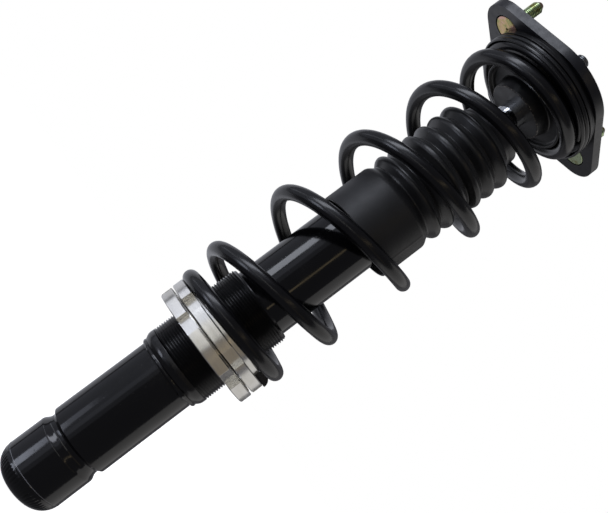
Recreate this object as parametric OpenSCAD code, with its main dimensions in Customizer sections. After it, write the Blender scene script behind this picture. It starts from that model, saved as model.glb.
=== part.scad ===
// Height-adjustable suspension strut with a barrel spring, two threaded collars
// and an eccentric three-stud top mount. Millimetres, +Z up the strut.
// The origin is on the strut axis, where the lower end of the round tube begins.

/* [Strut tube] */
// Outer radius of the tube's lower length, which the wheel carrier clamps
tube_r = 27.5; // [27.5:0.1:27.6]
// Length of the tube that the wheel carrier can clamp
clamp_len = 110; // [100:1:110]
// Outer radius of the tube above the clamp length
upper_r = 27.2; // [27.1:0.1:27.2]
// Wall of the tube
tube_wall = 2.5; // [2:0.1:2.5]
// Top edge of the tube
tube_top = 306; // [304:1:308]
// Lower edge of the rolled locating groove
groove_z = 26.4; // [20:0.1:60]
// Height of the groove
groove_h = 10.2; // [8:0.1:14]
// Depth of the groove
groove_depth = 2.6; // [1:0.1:3]
// Radius of the rounded shoulder at the closed lower end
cap_round = 16; // [10:0.5:20]

/* [Threaded sleeve] */
// Underside of the sleeve, on top of its weld
sleeve_z = 114; // [100:1:125]
// Top edge of the sleeve
sleeve_top = 193.2; // [180:0.1:220]
// Crest radius of the sleeve thread
thread_r = 31.4; // [31:0.1:32]
// Pitch of the sleeve thread
thread_pitch = 2; // [1.5:0.5:3]
// Depth of the sleeve thread
thread_depth = 1.2; // [0.8:0.1:1.3]

/* [Collars] */
// Outer radius of the collars
collar_r = 47.9; // [46:0.1:50]
// Underside of the lock collar
lock_z = 140.3; // [136:0.1:141]
// Height of the lock collar
lock_h = 9; // [7:0.1:9]
// Underside of the perch collar at its rim
perch_z = 150.8; // [150.8:0.1:151.2]
// Height of the perch collar up to the spring
perch_h = 8.6; // [8.4:0.1:8.6]
// Spanner notches round each collar
notches = 6; // [4:1:8]
// Width of a notch
notch_w = 14.6; // [8:0.1:18]
// Depth of a notch
notch_depth = 6; // [3:0.1:8]
// Turn of the lock collar's notches about the axis
lock_turn = -113.5; // [-180:0.5:180]
// Turn of the perch collar's notches about the axis
perch_turn = -127.5; // [-180:0.5:180]

/* [Coil spring] */
// Radius of the wire
wire_r = 5.9; // [5.2:0.1:5.9]
// Radius of the coil at its lower end, to the wire's centre
coil_r_low = 43.6; // [43.6:0.1:45.2]
// Radius of the coil at its upper end
coil_r_high = 46.4; // [46.4:0.1:46.6]
// How far the middle of the barrel stands out
coil_bulge = 8.4; // [0:0.1:9]
// Height gained in one turn of the open coils
coil_pitch = 66.65; // [60:0.05:66.65]
// Turns from end to end
coil_turns = 6.94; // [6.8:0.01:6.94]
// Sideways bow of the spring at its middle
coil_bow = 1.4; // [0:0.1:2]

/* [Dust boot] */
// Outer radius of the plain skirt
skirt_r = 36; // [35:0.1:37]
// Lower edge of the skirt
skirt_z = 278; // [274:1:282]
// Folds of the bellows
folds = 6; // [4:1:6]
// Spacing of the folds
fold_pitch = 12.88; // [10:0.01:12.88]
// Crest radius of the folds
fold_r = 36.6; // [35:0.1:37]
// Thickness of the rubber
boot_wall = 1.6; // [1.2:0.1:2]
// Sideways rest of the loose boot
boot_shift = 2.5; // [0:0.1:2.5]

/* [Damper] */
// Radius of the piston rod
rod_r = 11; // [10:0.1:11]
// Inner radius of the pressure tube
bore_r = 17; // [16.5:0.1:17.5]
// Radius of the thread on the rod's upper end
rod_end_r = 6; // [5:0.5:6]
// Tip of the rod
rod_tip_z = 508; // [500:1:512]
// Running clearance of the sliding fits
fit = 0.05; // [0.02:0.01:0.08]

/* [Top mount] */
// Flat face of the spring seat's boss
boss_z = 436.6; // [434:0.1:438]
// Radius of the spring seat and the bearing cover
seat_r = 54.7; // [54:0.1:55]
// Underside of the top plate
plate_z = 466.5; // [466.5:0.1:467]
// Thickness of the top plate
plate_t = 8; // [6:0.1:9]
// Radius of the studs
stud_r = 5; // [4:0.5:5]
// How far the studs stand above the plate
stud_len = 26.5; // [20:0.1:35]
// Balls of the thrust bearing
balls = 24; // [16:1:28]

/* [Hidden] */
$fn = 96;
tube_in = tube_r - tube_wall;
tube_shell = bore_r + 1.5;
sleeve_thread_z = sleeve_z + 7.5;
collar_bore = thread_r + 0.1;
hub_gap = 0.1;
hub_r = 40;
rim_gap = perch_z - (lock_z + lock_h);
perch_top = perch_z + perch_h;
valve_z = 5;
guide_z = 280;
guide_top = 296;
seal_top = 301;
piston_z = 222;
piston_h = 14;
piston_top = piston_z + piston_h;
ring_z = piston_z + 4;
ring_h = 6;
ring_cut = 1.5;
shoulder_z = 450;
ball_bottom = 463;
ball_top = 478;
ball_r = 13;
race_mid = 34;
ball_size = 1.6;
ball_z = 462.6;
cover_z = 463;
plate_top = plate_z + plate_t;
pocket_r = 12.4;
pocket_depth = 3.5;
studs = [[-53.5, -11], [53.5, 25.5], [-19, 66]];
// Corners of the plate's outline, each with the radius that rounds it
plate_corners = [[-86.6, -18.5, 22], [19.9, -67, 44], [85.6, 35.7, 22], [-19.6, 93.5, 14], [-46.5, 58.5, 20],
    [-55.3, 24, 25]];

function clamp01(x) = max(0, min(1, x));
function ramp(u, a, b) = u > b ? (b - a) / 2 + u - b
    : (b - a) * (pow(clamp01((u - a) / (b - a)), 3) - pow(clamp01((u - a) / (b - a)), 4) / 2);
// Height and radius of the wire's centre after u turns
end_pitch = 9;
lift_off = [0.43, 2.14];
landing = [4.09, 6.69];
coil_start = perch_top + 0.7;
function coil_z(u) = coil_start + end_pitch * u
    + (coil_pitch - end_pitch) * (ramp(u, lift_off[0], lift_off[1]) - ramp(u, landing[0], landing[1]));
function coil_r(u) = coil_r_low + (coil_r_high - coil_r_low) * u / coil_turns
    + coil_bulge * sin(180 * clamp01((u - 0.1) / 5.9));
coil_low = perch_top + 0.05;
coil_high = perch_top + 297.9;
coil_steps = 24;
wire_sides = 10;

// A solid of revolution from [radius, height] points
module turned(points, steps = 96) rotate_extrude($fn = steps) polygon(points);
// A plain ring between two radii and two heights
module ring(r_out, r_in, z0, z1) turned([[r_in, z0], [r_out, z0], [r_out, z1], [r_in, z1]]);
// Copies round the axis
module around(n, start = 0) for (i = [0:n - 1]) rotate([0, 0, start + i * 360 / n]) children();
// The arc that rounds corner i of an outline, as points
function heading(a, b) = atan2(b[1] - a[1], b[0] - a[0]);
function rounded(c, i, steps = 12) = let (n = len(c), p = c[i], way_in = heading(c[(i + n - 1) % n], p),
    way_out = heading(p, c[(i + 1) % n]), turn = (way_out - way_in + 540) % 360 - 180, side = sign(turn),
    back = p[2] * tan(abs(turn) / 2), start = [p[0] - back * cos(way_in), p[1] - back * sin(way_in)],
    middle = start + p[2] * side * [-sin(way_in), cos(way_in)])
    [for (k = [0:steps]) let (a = way_in + turn * k / steps) middle + p[2] * side * [sin(a), -cos(a)]];

module strut_tube() {
    floor_r = tube_r - groove_depth;
    outer = [[tube_r, 0], [tube_r, groove_z], [floor_r + 0.4, groove_z + 2.8], [floor_r, groove_z + 4],
        [floor_r, groove_z + groove_h - 2.8], [floor_r + 0.4, groove_z + groove_h - 1.8],
        [tube_r, groove_z + groove_h], [tube_r, clamp_len], [upper_r, clamp_len], [upper_r, tube_top]];
    inner = concat([[tube_in, tube_top]], [for (i = [6:-1:0]) [outer[i][0] - tube_wall, outer[i][1]]]);
    color([0.03, 0.03, 0.035]) turned(concat(outer, inner));
}

module base_cap() {
    foot_r = tube_r - cap_round;
    color([0.03, 0.03, 0.035]) turned(concat(
        [[0, -cap_round]],
        [for (a = [-90:10:0]) [foot_r + cap_round * cos(a), cap_round * sin(a)]],
        [[tube_in, 0], [tube_in, valve_z + 3], [20, valve_z + 3], [20, valve_z], [bore_r, valve_z],
            [bore_r, -6], [foot_r, 4 - cap_round], [0, 4 - cap_round]]));
}

module foot_valve() {
    color("silver") difference() {
        union() {
            translate([0, 0, valve_z]) cylinder(r = 20, h = 3);
            translate([0, 0, valve_z + 3]) cylinder(r = bore_r, h = 6);
            translate([0, 0, valve_z + 9]) cylinder(r = 4, h = 3);
        }
        around(6) translate([10, 0, valve_z - 1]) cylinder(r = 1.6, h = 11, $fn = 24);
    }
}

module pressure_tube() {
    color([0.55, 0.56, 0.58]) ring(tube_shell, bore_r, valve_z + 3, guide_z);
}

module rod_guide() {
    color([0.62, 0.62, 0.64]) turned([[rod_r + 1.6, guide_z - 8], [bore_r, guide_z - 8],
        [bore_r, guide_z], [tube_in, guide_z], [tube_in, guide_top], [rod_r + 1.6, guide_top]]);
}

module guide_bush() {
    color([0.5, 0.42, 0.26]) ring(rod_r + 1.6, rod_r + fit, guide_z - 6, guide_top);
}

module rod_seal() {
    color([0.06, 0.06, 0.06]) ring(tube_in, rod_r + fit, guide_top, seal_top);
}

module gland_nut() {
    color([0.09, 0.09, 0.095]) difference() {
        turned([[rod_r + 1, seal_top], [tube_in, seal_top], [tube_in, tube_top], [upper_r, tube_top],
            [upper_r, tube_top + 4], [upper_r - 1, tube_top + 5], [rod_r + 1, tube_top + 5]]);
        around(4) translate([20, 0, tube_top + 2]) cylinder(r = 2, h = 4, $fn = 24);
    }
}

module sleeve_weld() {
    color([0.04, 0.04, 0.045]) rotate_extrude() difference() {
        translate([upper_r + 0.5, sleeve_z - 1.2]) circle(1.8, $fn = 32);
        translate([upper_r - 5, sleeve_z - 5]) square([5, 10]);
        translate([upper_r - 5, sleeve_z]) square([10, 5]);
    }
}

module threaded_sleeve() {
    plain_r = thread_r - 0.1;
    root_r = thread_r - thread_depth;
    rounds = floor((sleeve_top - 2.4 - sleeve_thread_z) / thread_pitch);
    teeth = [for (i = [0:rounds - 1]) for (p = [[root_r, 0.15], [root_r, 0.3], [thread_r, 0.65], [thread_r, 0.85]])
        [p[0], sleeve_thread_z + (i + p[1]) * thread_pitch]];
    color([0.04, 0.04, 0.045]) turned(concat(
        [[upper_r, sleeve_z], [upper_r + 2, sleeve_z], [plain_r - 0.9, sleeve_z + 1.8],
            [plain_r, sleeve_z + 4], [plain_r, sleeve_thread_z]],
        teeth,
        [[root_r, sleeve_top - 2.2], [upper_r + 1.6, sleeve_top], [upper_r, sleeve_top]]));
}

// A ring with chamfered edges and spanner notches
module notched(points, z0, z1, turn) difference() {
    turned(points);
    around(notches, turn) translate([collar_r - notch_depth, -notch_w / 2, z0 - 1])
        cube([notch_depth + 5, notch_w, z1 - z0 + 2]);
}

module lock_collar() {
    top = lock_z + lock_h;
    hub_top = perch_z - rim_gap / 2 - hub_gap / 2;
    color([0.80, 0.80, 0.78]) notched([[collar_bore, lock_z], [collar_r - 0.6, lock_z],
        [collar_r, lock_z + 0.6], [collar_r, top - 0.6], [collar_r - 0.6, top], [hub_r, top],
        [hub_r, hub_top], [collar_bore, hub_top]], lock_z, top, lock_turn);
}

module perch_collar() {
    hub_low = perch_z - rim_gap / 2 + hub_gap / 2;
    lip_r = coil_r_low - wire_r - 1.4;
    color([0.82, 0.82, 0.80]) notched([[collar_bore, hub_low], [hub_r, hub_low], [hub_r, perch_z],
        [collar_r - 0.6, perch_z], [collar_r, perch_z + 0.6], [collar_r, perch_top - 0.6],
        [collar_r - 0.6, perch_top], [lip_r, perch_top], [lip_r, perch_top + 3], [lip_r - 1, perch_top + 4],
        [collar_bore, perch_top + 4]], hub_low, perch_top, perch_turn);
}

// Round wire whose two ends are ground flat
module coil_spring() {
    last = round(coil_turns * coil_steps);
    points = [for (i = [0:last]) let (u = coil_turns * i / last, turn = 360 * u, r = coil_r(u),
        bow = -coil_bow * sin(180 * u / coil_turns)) for (j = [0:wire_sides - 1]) let (a = 360 * j / wire_sides)
        [(r + wire_r * cos(a)) * cos(turn) + bow, (r + wire_r * cos(a)) * sin(turn),
            max(coil_low, min(coil_high, coil_z(u) + wire_r * sin(a)))]];
    sides = [for (i = [0:last - 1]) for (j = [0:wire_sides - 1])
        let (a = i * wire_sides + j, b = i * wire_sides + (j + 1) % wire_sides)
        for (f = [[a, a + wire_sides, b], [b, a + wire_sides, b + wire_sides]]) f];
    start_face = [for (j = [0:wire_sides - 1]) j];
    end_face = [for (j = [wire_sides - 1:-1:0]) last * wire_sides + j];
    color([0.05, 0.05, 0.055]) polyhedron(points, concat([start_face, end_face], sides), convexity = 20);
}

module dust_boot() {
    shoulder = skirt_z + 37;
    first_fold = skirt_z + 50;
    valley_r = fold_r - 4.8;
    last_fold = first_fold + (folds - 1) * fold_pitch;
    outer = concat(
        [[skirt_r, skirt_z], [skirt_r, shoulder], [skirt_r - 1.2, shoulder + 3], [valley_r - 0.4, shoulder + 6.5]],
        [for (i = [0:folds - 1]) for (p = [[fold_r - 0.7, -2.2], [fold_r, -0.9], [fold_r, 0.9], [fold_r - 0.7, 2.2],
            [valley_r, i < folds - 1 ? fold_pitch / 2 : 5]]) [p[0], first_fold + i * fold_pitch + p[1]]],
        [[27.4, last_fold + 9.5], [26.6, last_fold + 12], [25.6, last_fold + 19.6]]);
    inner = [for (i = [len(outer) - 1:-1:0]) [outer[i][0] - boot_wall, outer[i][1]]];
    color([0.10, 0.10, 0.10]) translate([boot_shift, 0, 0]) turned(concat(outer, inner));
}

module piston_rod() {
    end_root = rod_end_r - 0.8;
    thread_low = ball_top + 3.5;
    threads = floor((rod_tip_z - 1.5 - thread_low) / 1.5);
    color([0.86, 0.87, 0.88]) difference() {
        turned(concat(
            [[0, piston_z - 10], [rod_end_r - 1, piston_z - 10], [rod_end_r, piston_z - 9], [rod_end_r, piston_top],
                [rod_r, piston_top], [rod_r, shoulder_z], [rod_end_r, shoulder_z]],
            [for (i = [0:threads - 1]) for (p = [[rod_end_r, 0], [end_root, 0.5], [rod_end_r, 1]])
                [p[0], thread_low + (i + p[1] * 0.98) * 1.5]],
            [[end_root, rod_tip_z], [0, rod_tip_z]]));
        translate([0, 0, rod_tip_z - 5]) cylinder(r = 2.9, h = 6, $fn = 6);
    }
}

module piston() {
    color([0.45, 0.45, 0.46]) difference() {
        turned([[rod_end_r, piston_z], [bore_r - 0.1, piston_z], [bore_r - 0.1, ring_z], [bore_r - 0.1 - ring_cut, ring_z],
            [bore_r - 0.1 - ring_cut, ring_z + ring_h], [bore_r - 0.1, ring_z + ring_h],
            [bore_r - 0.1, piston_top], [rod_end_r, piston_top]]);
        around(6) translate([11, 0, piston_z - 1]) cylinder(r = 1.6, h = piston_h + 2, $fn = 24);
    }
}

module piston_ring() {
    color([0.35, 0.22, 0.12]) ring(bore_r - fit, bore_r - 0.1 - ring_cut, ring_z, ring_z + ring_h);
}

// A plain hexagon nut: across flats, bore radius and heights
module hex_nut(flats, bore, z0, z1) difference() {
    translate([0, 0, z0]) intersection() {
        cylinder(r = flats / sqrt(3), h = z1 - z0, $fn = 6);
        cylinder(r1 = flats / 2 + 3, r2 = flats / 2 + 0.4, h = z1 - z0);
    }
    translate([0, 0, z0 - 1]) cylinder(r = bore, h = z1 - z0 + 2);
}

module piston_nut() {
    color([0.6, 0.6, 0.6]) hex_nut(18, rod_end_r, piston_z - 8, piston_z);
}

module rebound_stop() {
    color([0.2, 0.2, 0.2]) ring(bore_r - 2, rod_r, piston_top, piston_top + 8);
}

module bump_stop() {
    base_z = skirt_z + 92.5;
    wave = 11.5;
    outer = concat([[15, base_z]],
        [for (i = [0:2]) for (p = [[20.5, 4], [20.5, 7.5], [16, wave]]) [p[0], base_z + i * wave + p[1]]],
        [[20, base_z + 38]]);
    color([0.75, 0.68, 0.45]) turned(concat([[rod_r + 0.1, base_z]], outer, [[rod_r + 0.1, base_z + 38]]));
}

module spring_seat() {
    race_z = ball_z - ball_size - 1.8;
    color([0.05, 0.05, 0.05]) turned([[rod_r + 0.1, boss_z], [23.4, boss_z], [24.2, boss_z + 0.8],
        [26.5, boss_z + 10.4], [35.8, boss_z + 10.4], [36.4, 444.4], [37, 444], [38, 444], [38.7, 445.2], [38.7, 456.8],
        [40, 457.6], [40, 460], [seat_r, 460], [seat_r, cover_z - 0.3], [40.5, cover_z - 0.3], [40.5, race_z], [28, race_z],
        [28, ball_bottom - 1], [17, ball_bottom - 1], [16, ball_bottom], [rod_end_r, ball_bottom],
        [rod_end_r, shoulder_z], [rod_r + 0.1, shoulder_z]]);
}

module seat_isolator() {
    cup_r = coil_r_high + wire_r + 0.7;
    color([0.07, 0.07, 0.07]) turned([[40, 457.6], [cup_r, 457.6], [cup_r, 453], [cup_r + 0.5, 452],
        [seat_r - 0.6, 452], [seat_r, 452.6], [seat_r, 460], [40, 460]]);
}

// A flat bearing ring with its ball track on one side
module race(z0, z1) difference() {
    ring(race_mid + 5, race_mid - 5, z0, z1);
    rotate_extrude() translate([race_mid, ball_z]) circle(ball_size + fit, $fn = 32);
}

module bearing_lower_race() {
    color([0.7, 0.71, 0.72]) race(ball_z - ball_size - 1.8, ball_z - 1.2);
}

module bearing_upper_race() {
    color([0.7, 0.71, 0.72]) race(ball_z + 1.2, plate_z);
}

module bearing_balls() {
    color([0.85, 0.86, 0.87]) around(balls) translate([race_mid, 0, ball_z]) sphere(ball_size, $fn = 24);
}

module bearing_cage() {
    color([0.55, 0.45, 0.2]) difference() {
        ring(race_mid + 2.8, race_mid - 2.8, ball_z - 0.5, ball_z + 0.5);
        around(balls) translate([race_mid, 0, ball_z - 1]) cylinder(r = ball_size + 0.1, h = 2, $fn = 24);
    }
}

module bearing_cover() {
    color([0.10, 0.10, 0.105]) ring(seat_r, 42, cover_z, plate_z);
}

module plate_outline() {
    polygon([for (i = [0:len(plate_corners) - 1]) each rounded(plate_corners, i)]);
}

module top_plate() {
    race_r = 20;
    color([0.06, 0.06, 0.065]) difference() {
        union() {
            translate([0, 0, plate_z]) linear_extrude(plate_t) plate_outline();
            translate([0, 0, plate_top]) cylinder(r1 = 31, r2 = 28, h = 4);
        }
        translate([0, 0, plate_z - 1]) cylinder(r = race_r, h = plate_t + 6);
        translate([0, 0, plate_top]) cylinder(r = race_r + 1, h = 5);
        for (s = studs) translate([s[0], s[1], plate_z]) {
            translate([0, 0, -1]) cylinder(r = pocket_r, h = pocket_depth + 1);
            cylinder(r = stud_r + 0.2, h = plate_t + 1);
        }
    }
}

module ball_race() {
    color([0.5, 0.51, 0.53]) difference() {
        ring(20, 9, plate_z, plate_top);
        translate([0, 0, (ball_bottom + ball_top) / 2]) sphere(ball_r + fit);
    }
}

module retaining_ring() {
    color([0.25, 0.25, 0.26]) difference() {
        ring(21, 17, plate_top, plate_top + 1.5);
        rotate([0, 0, 35]) translate([10, -3, plate_top - 1]) cube([20, 6, 4]);
    }
}

module pillow_ball() {
    color([0.8, 0.8, 0.82]) difference() {
        translate([0, 0, (ball_bottom + ball_top) / 2]) sphere(ball_r);
        translate([-20, -20, ball_bottom - 20]) cube([40, 40, 20]);
        translate([-20, -20, ball_top]) cube([40, 40, 20]);
        translate([0, 0, ball_bottom - 1]) cylinder(r = rod_end_r, h = 20);
    }
}

module top_washer() {
    color([0.7, 0.7, 0.68]) ring(12, rod_end_r, ball_top, ball_top + 2.5);
}

module top_nut() {
    color([0.75, 0.74, 0.7]) hex_nut(19, rod_end_r, ball_top + 2.5, ball_top + 13.5);
}

module mount_studs() {
    tip = plate_top + stud_len;
    neck_r = stud_r + 0.2;
    neck_top = plate_top + 0.5;
    color([0.78, 0.72, 0.42]) for (s = studs) translate([s[0], s[1], 0])
        turned([[0, plate_z], [pocket_r - 1.4, plate_z], [pocket_r - 0.9, plate_z + 0.5],
            [pocket_r - 0.9, plate_z + pocket_depth], [neck_r, plate_z + pocket_depth], [neck_r, neck_top],
            [stud_r, neck_top], [stud_r, tip - 3], [stud_r * 0.44, tip], [0, tip]], 48);
}

strut_tube();
base_cap();
foot_valve();
pressure_tube();
rod_guide();
guide_bush();
rod_seal();
gland_nut();
sleeve_weld();
threaded_sleeve();
lock_collar();
perch_collar();
coil_spring();
dust_boot();
piston_rod();
piston();
piston_ring();
piston_nut();
rebound_stop();
bump_stop();
spring_seat();
seat_isolator();
bearing_lower_race();
bearing_balls();
bearing_cage();
bearing_upper_race();
bearing_cover();
top_plate();
ball_race();
retaining_ring();
pillow_ball();
top_washer();
top_nut();
mount_studs();
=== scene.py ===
import math

import bmesh
import bpy
from mathutils import Matrix, Vector, noise


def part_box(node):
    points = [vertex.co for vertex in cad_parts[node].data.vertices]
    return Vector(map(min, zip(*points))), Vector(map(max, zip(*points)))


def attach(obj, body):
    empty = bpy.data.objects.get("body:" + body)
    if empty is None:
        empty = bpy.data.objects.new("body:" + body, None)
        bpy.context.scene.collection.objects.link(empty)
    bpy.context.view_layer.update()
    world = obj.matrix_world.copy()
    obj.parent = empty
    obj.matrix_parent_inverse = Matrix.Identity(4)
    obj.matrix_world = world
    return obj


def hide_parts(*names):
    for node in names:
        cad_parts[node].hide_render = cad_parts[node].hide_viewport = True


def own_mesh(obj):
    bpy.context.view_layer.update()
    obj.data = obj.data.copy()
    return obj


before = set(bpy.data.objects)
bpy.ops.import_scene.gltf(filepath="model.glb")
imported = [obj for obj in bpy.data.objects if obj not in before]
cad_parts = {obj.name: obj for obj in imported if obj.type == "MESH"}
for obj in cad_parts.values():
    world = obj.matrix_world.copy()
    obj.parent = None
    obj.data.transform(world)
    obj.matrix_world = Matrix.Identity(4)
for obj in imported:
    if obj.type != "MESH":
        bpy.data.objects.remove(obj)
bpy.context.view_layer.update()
mm = 0.001  # the pieces are drawn in millimetres and scaled once, when they are finished


def low(node):
    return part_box(node)[0].z / mm


def high(node):
    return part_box(node)[1].z / mm


def reach(node):  # largest radius of a round node about the strut axis
    return max(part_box(node)[1].y, -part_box(node)[0].y) / mm


# ---- materials

def colour(code):  # sRGB hex to linear
    parts = [int(code[i:i + 2], 16) / 255 for i in (1, 3, 5)]
    return [p / 12.92 if p <= 0.04045 else ((p + 0.055) / 1.055) ** 2.4 for p in parts] + [1.0]


def addNode(tree, kind, inputs=None, **settings):
    node = tree.nodes.new(kind)
    for key, value in settings.items():
        setattr(node, key, value)
    for key, value in (inputs or {}).items():
        if isinstance(value, bpy.types.NodeSocket):
            tree.links.new(value, node.inputs[key])
        else:
            node.inputs[key].default_value = value
    return node


def newFinish(name, **uniform):
    material = bpy.data.materials.new(name)
    material.use_nodes = True
    tree = material.node_tree
    shader = tree.nodes["Principled BSDF"]
    for key, value in uniform.items():
        shader.inputs[key.replace("_", " ")].default_value = value
    place = addNode(tree, "ShaderNodeTexCoord").outputs["Object"]
    return material, tree, shader, place


def grain(tree, place, size, detail=2.0, roughness=0.5):  # size in mm from one bump to the next
    return addNode(tree, "ShaderNodeTexNoise", {
        "Vector": place, "Scale": 1 / (size * mm), "Detail": detail, "Roughness": roughness,
    }).outputs["Fac"]


def between(tree, value, fromLow, fromHigh, toLow, toHigh):
    return addNode(tree, "ShaderNodeMapRange", {
        "Value": value, "From Min": fromLow, "From Max": fromHigh, "To Min": toLow, "To Max": toHigh,
    }).outputs["Result"]


def tinted(tree, value, *stops):  # colour ramp from (place, hex) stops
    ramp = addNode(tree, "ShaderNodeValToRGB", {"Fac": value})
    while len(ramp.color_ramp.elements) < len(stops):
        ramp.color_ramp.elements.new(0.5)
    for element, (spot, code) in zip(ramp.color_ramp.elements, stops):
        element.position = spot
        element.color = colour(code)
    return ramp.outputs["Color"]


def relief(tree, shader, value, depth, distance=1.0):  # depth in mm
    bump = addNode(tree, "ShaderNodeBump", {"Height": value, "Distance": depth * mm, "Strength": distance})
    old = shader.inputs["Normal"]
    if old.is_linked:
        tree.links.new(old.links[0].from_socket, bump.inputs["Normal"])
    tree.links.new(bump.outputs["Normal"], old)


def aroundAxis(tree, place, along, across):
    # Coordinates that are alike all round the strut axis, for lathe marks: radius and height in steps of
    # across, the turn in steps of along
    parts = addNode(tree, "ShaderNodeSeparateXYZ", {"Vector": place})
    flat = addNode(tree, "ShaderNodeCombineXYZ", {"X": parts.outputs["X"], "Y": parts.outputs["Y"]})
    radius = addNode(tree, "ShaderNodeVectorMath", {0: flat.outputs["Vector"]}, operation="LENGTH")
    turn = addNode(tree, "ShaderNodeVectorMath", {0: flat.outputs["Vector"]}, operation="NORMALIZE")
    swept = addNode(tree, "ShaderNodeVectorMath", {0: turn.outputs["Vector"], "Scale": 1 / along},
                    operation="SCALE")
    summed = addNode(tree, "ShaderNodeMath", {0: radius.outputs["Value"], 1: parts.outputs["Z"]},
                     operation="ADD")
    height = addNode(tree, "ShaderNodeMath", {0: summed.outputs["Value"], 1: 1 / (across * mm)},
                     operation="MULTIPLY")
    lift = addNode(tree, "ShaderNodeCombineXYZ", {"Z": height.outputs["Value"]})
    return addNode(tree, "ShaderNodeVectorMath", {0: swept.outputs["Vector"], 1: lift.outputs["Vector"]},
                   operation="ADD").outputs["Vector"]


def link(tree, value, shader, name):
    tree.links.new(value, shader.inputs[name])


def glossEnamel():
    # Stoved gloss enamel on steel tube: near black, mirror-like, with a little orange peel and dust in it
    material, tree, shader, place = newFinish("glossEnamel", Roughness=0.12, IOR=1.52)
    height = addNode(tree, "ShaderNodeSeparateXYZ", {"Vector": place}).outputs["Z"]
    off = addNode(tree, "ShaderNodeMath", {0: height}, operation="ABSOLUTE").outputs["Value"]
    seamHighlight = between(tree, off, 0.1 * mm, 0.4 * mm, 0.8, 0)  # painted highlight: a thin light grey line where the cap meets the tube
    mottleAndPaintedLight = addNode(tree, "ShaderNodeMath", {0: grain(tree, place, 60, 4), 1: seamHighlight},
                    operation="ADD").outputs["Value"]
    # The top stop, #7a7a7e, is reached only on the seam line, so it is a painted highlight
    link(tree, tinted(tree, mottleAndPaintedLight, (0.3, "#050506"), (0.7, "#09090b"), (1.0, "#7a7a7e")),
         shader, "Base Color")
    specks = between(tree, grain(tree, place, 1.4, 3), 0.66, 0.72, 0, 0.14)
    worn = between(tree, grain(tree, place, 18, 4), 0.4, 0.75, 0.09, 0.17)
    rough = addNode(tree, "ShaderNodeMath", {0: specks, 1: worn}, operation="ADD").outputs["Value"]
    link(tree, rough, shader, "Roughness")
    relief(tree, shader, grain(tree, place, 3.5, 1), 0.012)
    relief(tree, shader, specks, 0.1, 0.5)
    return material


def threadCoat():
    # Black electrocoat over a rolled thread: thin and half gloss, with a faint random mottle
    material, tree, shader, place = newFinish("threadCoat", Roughness=0.24, IOR=1.5)
    link(tree, tinted(tree, grain(tree, place, 5, 4), (0.35, "#060607"), (0.75, "#0c0c0e")),
         shader, "Base Color")
    link(tree, between(tree, grain(tree, place, 2.5, 3), 0.35, 0.7, 0.14, 0.26), shader, "Roughness")
    relief(tree, shader, grain(tree, place, 1.2, 2), 0.006)
    return material


def turnedAluminium():
    # Bare turned aluminium: bright silver, fine lathe lines round it (0.15 mm on the real one, drawn at
    # 0.7 mm to show) and faint handling marks
    material, tree, shader, place = newFinish("turnedAluminium", Metallic=1.0, Roughness=0.26)
    rings = aroundAxis(tree, place, 1.6, 0.7)
    lines = addNode(tree, "ShaderNodeTexNoise", {"Vector": rings, "Scale": 1.0, "Detail": 3.0}).outputs["Fac"]
    broad = aroundAxis(tree, place, 0.35, 6)
    bands = addNode(tree, "ShaderNodeTexNoise", {"Vector": broad, "Scale": 1.0, "Detail": 2.0}).outputs["Fac"]
    link(tree, tinted(tree, bands, (0.3, "#dcdad3"), (0.7, "#ebeae6")), shader, "Base Color")
    mixed = addNode(tree, "ShaderNodeMath", {0: lines, 1: bands}, operation="MULTIPLY").outputs["Value"]
    link(tree, between(tree, mixed, 0.12, 0.4, 0.2, 0.26), shader, "Roughness")
    relief(tree, shader, lines, 0.0008)
    return material


def springCoat():
    # Satin powder coat on spring wire: black, soft wide highlights, faintly pebbled
    # at about a millimetre, drawn at 3 mm to show
    material, tree, shader, place = newFinish("springCoat", Roughness=0.24, IOR=1.5)
    link(tree, tinted(tree, grain(tree, place, 30, 4), (0.3, "#060608"), (0.7, "#0b0b0e")),
         shader, "Base Color")
    link(tree, between(tree, grain(tree, place, 9, 3), 0.35, 0.7, 0.2, 0.27), shader, "Roughness")
    relief(tree, shader, grain(tree, place, 3, 1), 0.003)
    return material


def bootRubber():
    # Moulded EPDM rubber: charcoal black with the mould's fine grain, dull on the skirt and smoother
    # where the folds flex; the same fold mask also paints the folds darker as painted shade
    material, tree, shader, place = newFinish("bootRubber", Roughness=0.5, IOR=1.5, Sheen_Weight=0.06,
                                              Sheen_Roughness=0.5)
    height = addNode(tree, "ShaderNodeSeparateXYZ", {"Vector": place}).outputs["Z"]
    folds = (low("dust_boot") + dustBoot["shoulder"]) * mm
    foldGlossAndShade = between(tree, height, folds - 1 * mm, folds + 3 * mm, 0, -0.2)
    # The fold mask lowers the colour as well as the roughness: painted shade on the folds
    mottleAndPaintedLight = addNode(tree, "ShaderNodeMath", {0: grain(tree, place, 25, 5), 1: foldGlossAndShade}, operation="ADD")
    link(tree, tinted(tree, mottleAndPaintedLight.outputs["Value"], (0.05, "#040405"), (0.35, "#0b0b0c"), (0.75, "#17171a")),
         shader, "Base Color")
    rough = between(tree, grain(tree, place, 9, 4), 0.35, 0.7, 0.47, 0.55)
    rough = addNode(tree, "ShaderNodeMath", {0: rough, 1: foldGlossAndShade}, operation="ADD").outputs["Value"]
    link(tree, rough, shader, "Roughness")
    relief(tree, shader, grain(tree, place, 1.2, 2), 0.002)
    return material


def seatRubber():
    # Harder moulded rubber ring under the bearing: black, half matt, smooth where the spring presses
    material, tree, shader, place = newFinish("seatRubber", Roughness=0.24, IOR=1.5)
    link(tree, tinted(tree, grain(tree, place, 20, 4), (0.3, "#060607"), (0.75, "#0c0c0e")),
         shader, "Base Color")
    link(tree, between(tree, grain(tree, place, 8, 4), 0.35, 0.7, 0.2, 0.28), shader, "Roughness")
    relief(tree, shader, grain(tree, place, 3, 1), 0.002)
    return material


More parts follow.
